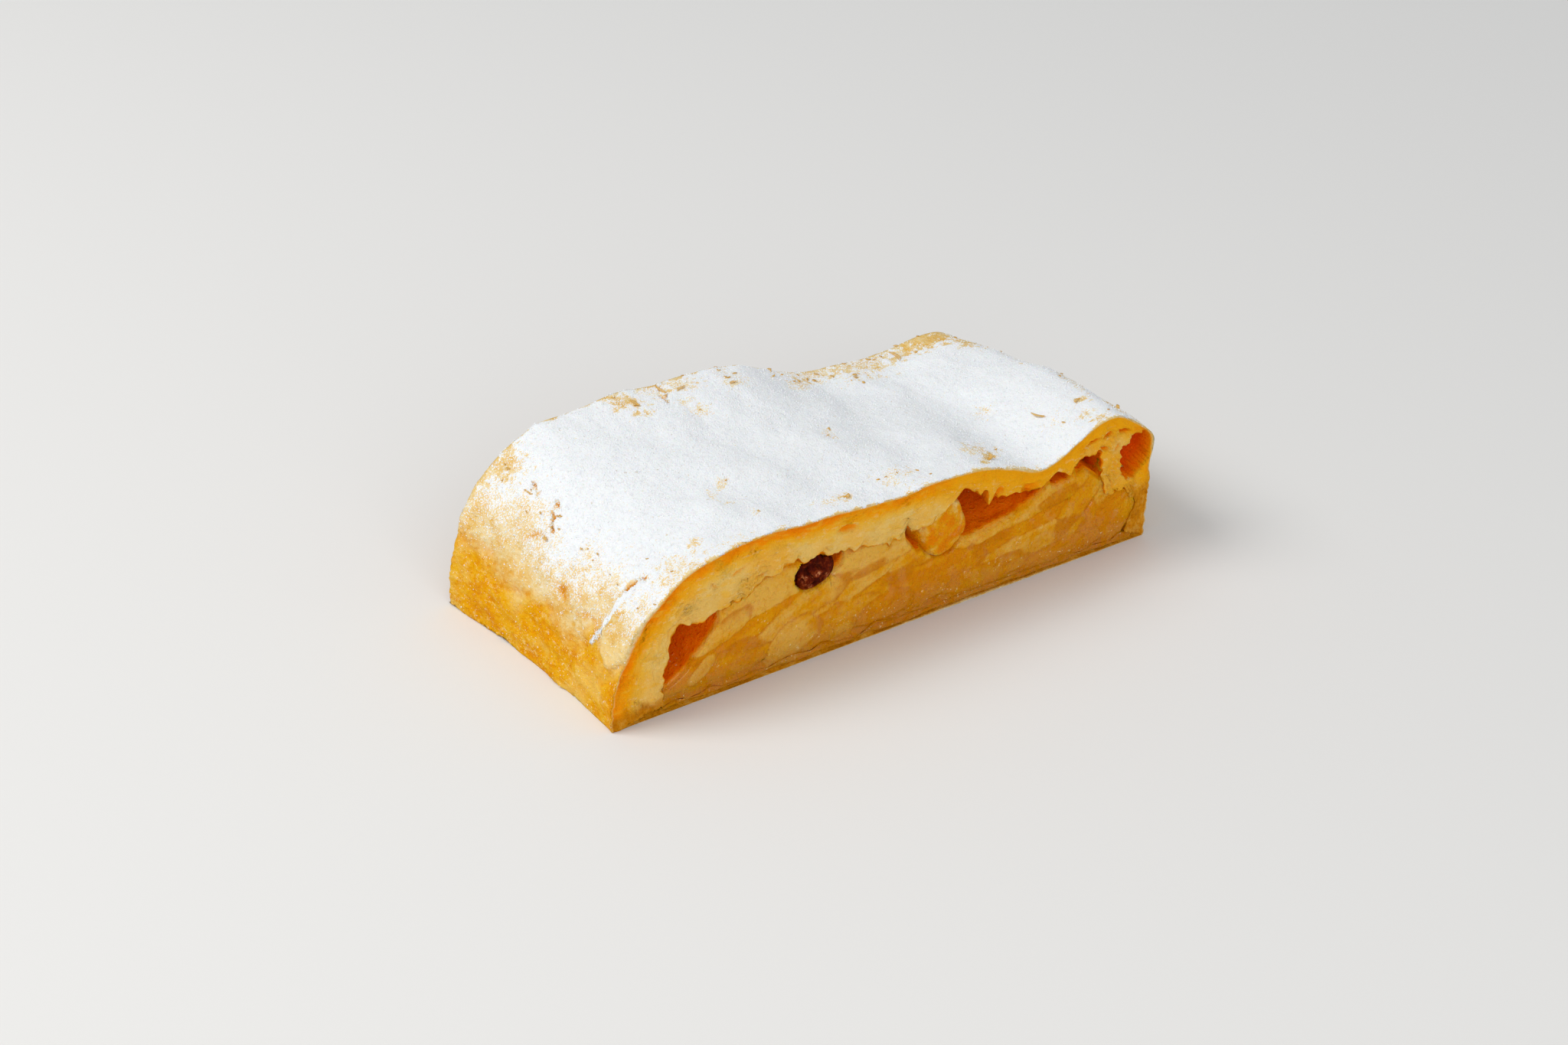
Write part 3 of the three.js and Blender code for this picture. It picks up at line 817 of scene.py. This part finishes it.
def coreShape():
    # rows run up the front cap, along the roof, down the back cap and along the base
    left, right = roofLine[0, 0], roofLine[-3, 0]
    x = np.linspace(left, right, core["columns"] - 1)
    x = np.concatenate((x[:1], x, x[-1:], x[-1:]))  # the end columns close the sides
    floor = core["bottom"] + 0.35 * ripple(np.stack((x, 0 * x, 0 * x), axis=-1), 6, 67)[:, None]
    climb = np.linspace(0, 1, core["capRows"] + 1)
    run = (1 - np.cos(np.linspace(0, math.pi, core["roofRows"] + 1))) / 2
    rows = [(t, 0) for t in climb[:-1]] + [(1, t) for t in run]
    rows += [(t, 1) for t in climb[::-1][1:]]
    rows += [(0, t) for t in np.linspace(1, 0, core["baseRows"] + 1)[1:-1]]
    high, along = np.array(rows).T
    x = np.broadcast_to(x[:, None], (len(x), len(high)))
    y = front + core["setBack"] + (sliceLength - 2 * core["setBack"]) * along + 0 * x
    drop = gapDrop(x, y)
    top = np.maximum(fillTop(x) - drop, floor + 1)
    closed = np.ones(x.shape)
    closed[0], closed[-2:] = 0, 0
    z = floor + (top - floor) * (high * closed + 0.5 * (1 - closed))
    flat = np.stack((x, y, z), axis=-1)
    crumple = core["crumple"] * (ripple(flat, 5, 21) + 0.5 * ripple(flat, 1.8, 22))
    z = z + np.minimum(crumple, 0.2) * high ** 8 * closed
    tone, seam, strand = 0.2 + 0.4 * crumple, 0 * x, 0 * x
    # painted shade on the filling's top under the air gaps, darker the further in
    sunk = insideGap(y, drop) * (high == 1)
    for side, end in ((-1, along == 0), (1, along == 1)):
        depth, pale, joint, fibre = slicedFace(x, z, side)
        lip = core["lip"] * rise(z, top - 1.1, top) * rise(drop, 0.8, 2)
        depth = np.minimum(depth, core["footRecess"] + 2.0 * rise(z, 1.4, 4.6))
        depth = depth + lip + clearing(x, z, side)
        y = np.where(end, cutY[side] - side * depth, y)
        tone, seam = np.where(end, pale, tone), np.where(end, joint, seam)
        strand = np.where(end, fibre, strand)
        # on the cut faces: painted shade where the face curls back at its top edge under a gap, and where
        # it sits far back
        sunk = np.where(end, 0.35 * rise(lip, 0.3, 0.9) + 0.4 * rise(depth, 1.4, 3), sunk)
    xOut, zOut = warp(x, y, z)
    layers = {"sunk": sunk, "tone": tone, "seam": seam, "strand": strand}
    return np.stack((xOut, y, zOut), axis=-1), layers


def applePaint(name, pale, mid, deep, line, gloss):
    paint = Paint(name)
    tone, seam, strand = paint.layer("tone"), paint.layer("seam"), paint.layer("strand")
    sunk, broad, height = paint.layer("sunk"), paint.lumps(7, 2, 0.5), paint.height()
    pulp, fine = paint.lumps(1.6, 5, 0.65), paint.lumps(0.5, 3, 0.6)
    mottled = (broad - 0.5) * 0.8 + strand * 0.10 + (pulp - 0.5) * 0.6 + (fine - 0.5) * 0.4
    value = tone * 0.74 + mottled + 0.10
    colour = paint.shades(value, [(0.20, deep), (0.46, mid), (0.76, pale)])
    colour = paint.blend(seam * 0.75, colour, line)
    low = 1 - paint.between(height + (broad - 0.5) * 8, 3.0, 12.0)
    colour = paint.blend(low * 0.4, colour, (0.52, 0.19, 0.002))
    colour = paint.blend((1 - paint.between(height, 1.0, 4.5)) * 0.6, colour, (0.50, 0.15, 0.0))
    # painted shade: the filling turns orange where it lies sunk under an air gap and where it sits back
    # from the cut, and darker red the deeper it lies
    floor = paint.shades(sunk * 0.5, [
        (0.1, (0.86, 0.30, 0.0)), (0.3, (0.87, 0.20, 0.0)), (0.8, (0.80, 0.11, 0.0))])
    colour = paint.blend(paint.between(sunk, 0.05, 0.5), colour, floor)
    wet = paint.between(paint.lumps(2.6, 3, 0.6) + low * 0.16, 0.54, 0.68) * gloss
    # painted highlights: pale specks in the colour where wet glints would catch the light, most of them
    # low down
    paintedGlint = paint.between(paint.lumps(0.8, 3, 0.6), 0.63, 0.71)
    paintedGlint = paintedGlint * paint.between(broad + low * 0.3, 0.54, 0.76)
    colour = paint.blend(paintedGlint * 0.6, colour, (0.94, 0.72, 0.38))
    normal = paint.relief(pulp * 0.5 + fine * 0.5, 0.4)
    normal = paint.relief(paint.between(paint.lumps(0.7, 2, 0.5), 0.5, 0.75), 0.15, normal)
    paint.surface(Base_Color=colour, Roughness=0.32 + fine * 0.3, Normal=normal,
                  Coat_Weight=wet, Coat_Roughness=0.07, Specular_IOR_Level=0.04, Subsurface_Weight=0.4,
                  Subsurface_Radius=(0.006, 0.002, 0.0005), Subsurface_Scale=1.0)
    return paint


fillingPaint = applePaint("cookedApple", (0.77, 0.42, 0.065), (0.73, 0.31, 0.001), (0.68, 0.23, 0.0),
                          (0.56, 0.17, 0.0), 0.6)

makePiece(closedGrid(*coreShape()), "fillingCore", fillingPaint, "cooked_apple", "apple_filling")


# Apple wedges and raisins.

wedgePaint = applePaint("softWedge", (0.82, 0.53, 0.13), (0.77, 0.33, 0.002), (0.76, 0.225, 0.0),
                        (0.86, 0.52, 0.07), 1.0)
wedge = dict(squareness=0.88, swell=1.1, depth=6, recess=0.5, shift=0.5)


def makeWedge(node, name, side, tilt, seed):
    spot, size = nodeBox(node)
    mesh = bmesh.new()
    handles = {key: mesh.verts.layers.float.new(key) for key in ("tone", "seam")}
    at = (spot[0] - wrapLow[0] * 1000 - wedge["shift"] * side, spot[2])
    made = bmesh.ops.create_icosphere(mesh, subdivisions=5, radius=1)
    ball = np.array([vert.co for vert in made["verts"]])
    shaped = np.sign(ball) * np.abs(ball) ** wedge["squareness"]
    lumpy = 1 + 0.08 * ripple(ball, 0.9, seed) + 0.03 * ripple(ball, 0.25, seed + 1)
    shaped = shaped * lumpy[:, None]
    c, s = math.cos(math.radians(tilt)), math.sin(math.radians(tilt))
    u, v = shaped[:, 0] * size[0] * wedge["swell"], shaped[:, 2] * size[2] * wedge["swell"]
    x, z = at[0] + u * c - v * s, at[1] + u * s + v * c
    face = cutY[side] - side * (wedge["recess"] + 0.2 * (1 + ripple(ball, 0.5, seed + 2)))
    y = spot[1] + shaped[:, 1] * wedge["depth"]
    y = np.where(side * y > side * face, face + 0.25 * (y - face), y)
    z = np.minimum(z, fillTop(np.clip(x, 14, 135)) + 0.3)
    reach = np.hypot(shaped[:, 0], shaped[:, 2])
    seam = 0.7 * rise(reach, 0.80, 1.0) * rise(shaped[:, 0] - 0.7 * shaped[:, 2], -0.5, 0.7)
    # tone: paler towards the rim, paler towards the top as painted light from above, and mottled at
    # random
    tone = 0.25 + 0.45 * rise(reach, 0.3, 1.0) + 0.25 * shaped[:, 2] + 0.4 * ripple(ball, 0.35, seed + 3)
    for k, vert in enumerate(made["verts"]):
        vert.co = place(x[k], y[k], z[k])
        vert[handles["tone"]] = tone[k]
        vert[handles["seam"]] = seam[k]
    bmesh.ops.recalc_face_normals(mesh, faces=mesh.faces)
    makePiece(mesh, name, wedgePaint, "soft_wedge", node)


makeWedge("apple_wedge_front", "appleWedgeFront", -1, 12, 41)
makeWedge("apple_wedge_back", "appleWedgeBack", 1, -14, 43)


def raisinPaint():
    paint = Paint("driedGrape")
    broad, fine = paint.lumps(2.2, 4, 0.6), paint.lumps(0.6, 3, 0.6)
    crease = paint.layer("crease")
    colour = paint.shades(broad * 0.7 + fine * 0.3, [
        (0.40, (0.045, 0.002, 0.0)), (0.5, (0.10, 0.007, 0.0)),
        (0.58, (0.24, 0.035, 0.004)), (0.66, (0.60, 0.26, 0.10))])
    # painted shade: the folds turn near black
    colour = paint.blend(crease * 0.7, colour, (0.02, 0.002, 0.0))
    normal = paint.relief(broad * 0.5 + fine * 0.5, 0.35)
    paint.surface(Base_Color=colour, Roughness=0.5 + fine * 0.2, Normal=normal, Specular_IOR_Level=0.05,
                  Coat_Weight=paint.between(broad, 0.54, 0.66) * 0.25, Coat_Roughness=0.14)
    return paint


grapePaint = raisinPaint()
raisin = dict(swell=1.27, depth=3.6, sunk=3.5, shift=1.0)


def makeRaisin(node, name, side, seed):
    spot, size = nodeBox(node)
    mesh = bmesh.new()
    # the crease layer holds how deep each fold is, which the paint darkens as painted shade
    handle = mesh.verts.layers.float.new("crease")
    made = bmesh.ops.create_icosphere(mesh, subdivisions=5, radius=1)
    ball = np.array([vert.co for vert in made["verts"]])
    bent = ball + 0.25 * ripple(ball, 0.7, seed)[:, None]
    folds = np.clip(1 - np.abs(ripple(bent, (0.55, 0.55, 0.85), seed + 1)) * 2.2, 0, 1) ** 2
    small = 1 - np.clip(np.abs(ripple(ball, 0.24, seed + 2)) * 3, 0, 1)
    swell = 1.06 + 0.10 * ripple(ball, 1.1, seed + 3) - 0.2 * folds - 0.04 * small
    centre = np.array((spot[0] - raisin["shift"] * side, cutY[side] - raisin["sunk"] * side, spot[2]))
    half = (size[0] * raisin["swell"], raisin["depth"], size[2] * raisin["swell"])
    for k, vert in enumerate(made["verts"]):
        vert.co = Vector(centre + ball[k] * swell[k] * half) / 1000
        vert[handle] = float(folds[k])
    bmesh.ops.recalc_face_normals(mesh, faces=mesh.faces)
    makePiece(mesh, name, grapePaint, "raisin", node)


makeRaisin("raisin_front", "raisinFront", -1, 51)
makeRaisin("raisin_back", "raisinBack", 1, 57)


# Loose icing sugar and flakes of crust.

sugar = dict(seeds=3, doublings=13, small=0.09, large=0.25)


def sugarPaint():
    paint = Paint("icingSugar")
    fine = paint.lumps(0.3, 2)
    colour = paint.shades(fine, [(0.3, (0.88, 0.90, 0.915)), (0.7, (0.93, 0.945, 0.955))])
    paint.surface(Base_Color=colour, Roughness=0.85 + fine * 0.1)
    return paint


def skinSpots(count, weight, draw):
    # random points on the crust, more of them where weight is high
    rows = wrap["skinRows"] + 1
    places = wrapPlaces[:, :rows]
    picked = draw.choice(weight.size, size=count, p=weight.ravel() / weight.sum())
    column, row = np.unravel_index(picked, weight.shape)
    nextColumn, nextRow = np.minimum(column + 1, len(places) - 1), np.minimum(row + 1, rows - 1)
    here = places[column, row]
    a, b = draw.random((2, count, 1))
    return here + a * (places[nextColumn, row] - here) + b * (places[column, nextRow] - here)


def makeSugar():
    # little clumps, thickest where the sugar thins out: grains doubled until there are enough
    mesh = bmesh.new()
    number = mesh.verts.layers.int.new("number")
    for k in range(sugar["seeds"]):
        for vert in bmesh.ops.create_uvsphere(mesh, u_segments=4, v_segments=2, radius=1)["verts"]:
            vert[number] = k
    count = sugar["seeds"]
    for k in range(sugar["doublings"]):
        made = bmesh.ops.duplicate(mesh, geom=mesh.verts[:] + mesh.edges[:] + mesh.faces[:])
        for part in made["geom"]:
            if isinstance(part, bmesh.types.BMVert):
                part[number] += count
        count *= 2
    draw = np.random.default_rng(7)
    cover = wrapLayers["sugar"][:, :wrap["skinRows"] + 1]
    density = cover * (1.15 - cover) * 3 + 0.22 * (cover > 0.9) + 0.05 * (cover > 0.004) + 0.012
    spots = skinSpots(count, density, draw)
    radius = sugar["small"] + (sugar["large"] - sugar["small"]) * draw.random(count) ** 3
    squash = draw.uniform(0.6, 1.3, len(mesh.verts))
    for k, vert in enumerate(mesh.verts):
        grain = vert[number]
        vert.co = place(*spots[grain]) + vert.co * float(radius[grain] * squash[k]) / 1000
        vert.co.z = max(vert.co.z, 0)
    mesh.verts.layers.int.remove(number)
    makePiece(mesh, "sugarGrains", sugarPaint(), "icing_sugar")


makeSugar()

flake = dict(count=90, thickness=0.14, firstColumn=60)
# Splinters of crust lying on the sugar: x, y, length, width, turn in degrees, curl.
splinters = [
    (113.6, 27.0, 4.8, 0.9, 80, 0.7), (119.0, -17.4, 5.6, 0.6, -66, 0.4), (51.6, 27.4, 6.0, 0.6, 66, 0.6),
    (60.6, -25.8, 3.2, 0.9, 52, 0.4), (126.4, -19.6, 2.2, 0.9, 30, 0.4), (97.6, -25.2, 4.6, 0.7, 40, 0.5),
    (12.2, 17.4, 2.6, 0.8, -70, 0.4), (8.9, 6.0, 2.2, 0.9, 60, 0.5), (43.4, 25.0, 3.0, 1.0, 110, 0.5),
    (55.4, 25.6, 2.6, 0.8, 35, 0.4), (66.2, 21.8, 1.8, 0.8, 10, 0.3), (136.0, -22.0, 2.6, 0.9, 75, 0.5),
]


def addFlake(mesh, spot, length, width, turn, curl, segments):
    made = bmesh.ops.create_grid(mesh, x_segments=segments, y_segments=max(2, segments // 3), size=0.5)
    c, s = math.cos(math.radians(turn)), math.sin(math.radians(turn))
    for vert in made["verts"]:
        u, v = vert.co.x * 2, vert.co.y * 2
        taper = (1 - 0.9 * abs(u) ** 2.4) * (1 + 0.5 * noise.noise(Vector((u * 3, v, length * 7))))
        x, y = u * length / 2, v * width / 2 * taper + 0.12 * length * math.sin(2.1 * u + length)
        rough = 0.06 * noise.noise(Vector((u * 4, v * 4, turn)))
        z = 0.08 + 0.25 * curl * v * v + 0.1 * curl * u * u + rough
        vert.co = place(spot[0] + x * c - y * s, spot[1] + x * s + y * c, spot[2] + z)
    faces = list({face for vert in made["verts"] for face in vert.link_faces})
    bmesh.ops.solidify(mesh, geom=faces, thickness=flake["thickness"] / 1000)


def makeFlakes():
    mesh = bmesh.new()
    top = wrapPlaces[:sum(wrap["columns"][:3]), :wrap["skinRows"] + 1].reshape(-1, 3)
    for x, y, length, width, turn, curl in splinters:
        nearest = top[np.argmin(np.hypot(top[:, 0] - x, top[:, 1] - y))]
        addFlake(mesh, (x, y, nearest[2]), length, width, turn, curl, 14)
    draw = np.random.default_rng(19)
    cover = wrapLayers["sugar"][:, :wrap["skinRows"] + 1]
    columns = np.arange(len(cover))[:, None]
    onTop = (columns > flake["firstColumn"]) * (columns < sum(wrap["columns"][:3]))
    weight = (cover > 0.15) * (cover < 0.8) * onTop
    for spot in skinSpots(flake["count"], weight.astype(float), draw):
        length = draw.uniform(0.5, 1.3)
        width, turn = length * draw.uniform(0.3, 0.7), draw.uniform(0, 360)
        addFlake(mesh, spot, length, width, turn, draw.uniform(0.1, 0.4), 4)
    bake = mesh.verts.layers.float.new("bake")
    for vert in mesh.verts:
        vert[bake] = 0.35
    bmesh.ops.recalc_face_normals(mesh, faces=mesh.faces)
    makePiece(mesh, "crustFlakes", crust, "baked_dough")


makeFlakes()
